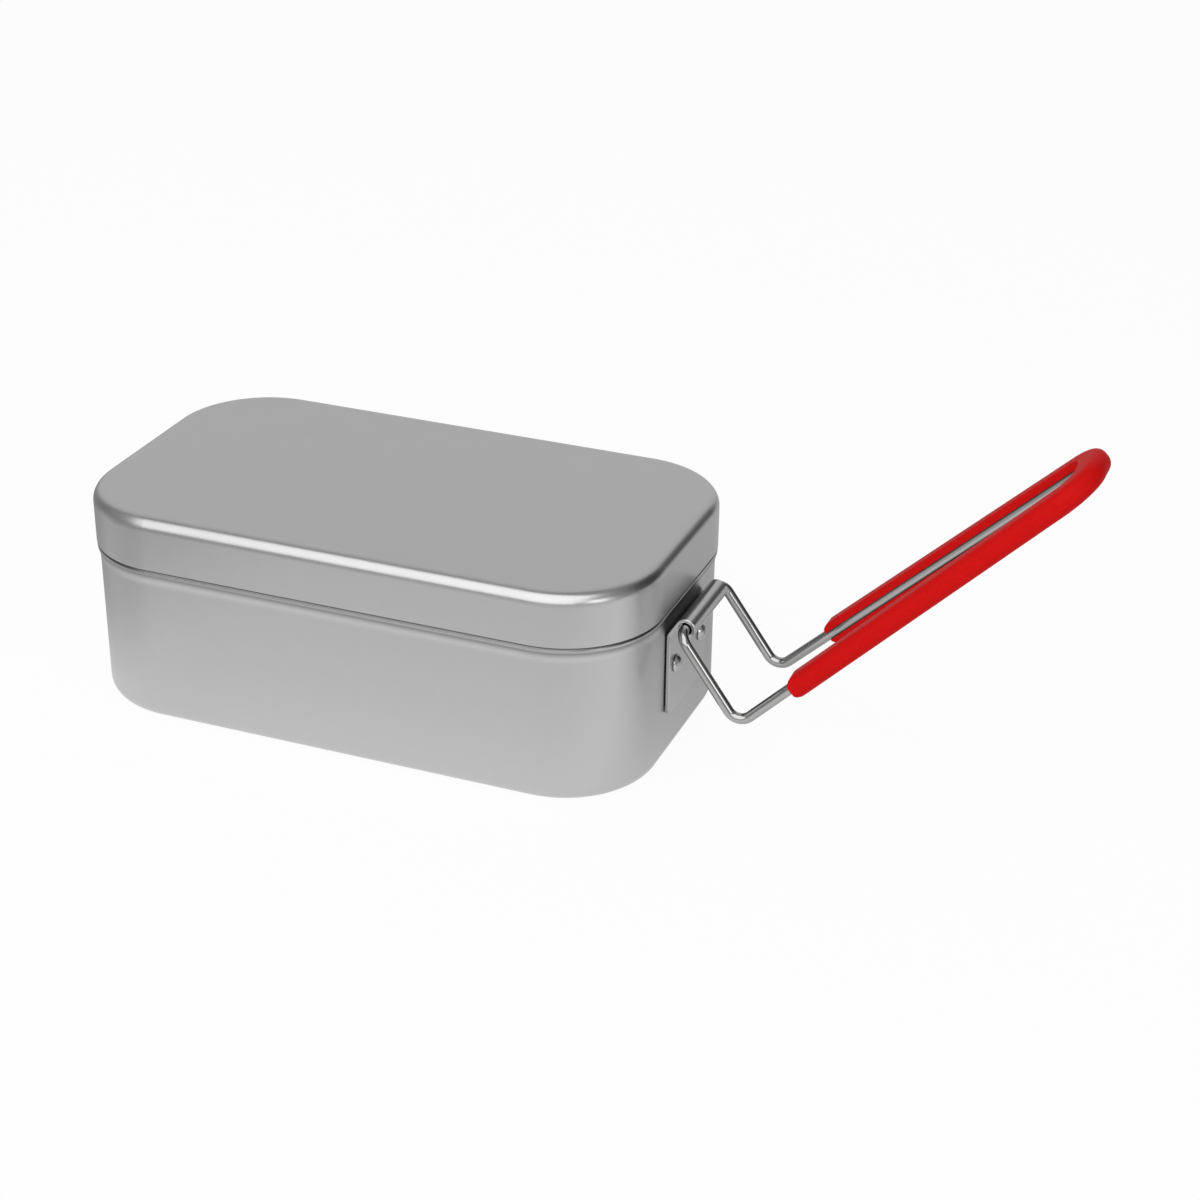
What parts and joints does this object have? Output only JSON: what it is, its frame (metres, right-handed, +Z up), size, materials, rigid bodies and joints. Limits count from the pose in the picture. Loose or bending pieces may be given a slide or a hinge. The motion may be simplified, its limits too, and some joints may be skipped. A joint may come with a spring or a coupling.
{
  "type": "lunch box with swinging wire handle",
  "caption": "Pressed aluminium lunch box: deep pan, slip-on lid, riveted hinge bracket and a folding wire handle with a plastic grip.",
  "frame": {"origin": "centre of the pan's underside", "axes": "+Z up, +X from the pan's centre towards the handle, +Y along the pan's width"},
  "size_m": [0.2818, 0.0964, 0.1067],
  "materials": {
    "tin_aluminium": "satin, pressed and etched",
    "bracket_aluminium": "mill finish, rolled",
    "rivet_aluminium": "upset, bright",
    "handle_wire": "drawn, bright plated",
    "grip_plastic": "moulded, soft gloss"
  },
  "bodies": {
    "tin": {"pan": "tin_aluminium", "handle_bracket": "bracket_aluminium", "bracket_rivets": "rivet_aluminium"},
    "lid": {"lid": "tin_aluminium"},
    "handle": {"wire_handle": "handle_wire", "handle_grip": "grip_plastic"}
  },
  "joints": [
    {"name": "lid_lift", "type": "slide", "parent": "tin", "child": "lid", "axis": [0, 0, 1], "range_m": [0, 0.08]},
    {"name": "handle_hinge", "type": "hinge", "parent": "tin", "child": "handle", "pos_m": [0.0891, 0, 0.0422], "axis": [0, -1, 0], "range_deg": [-42.5, 138]}
  ]
}
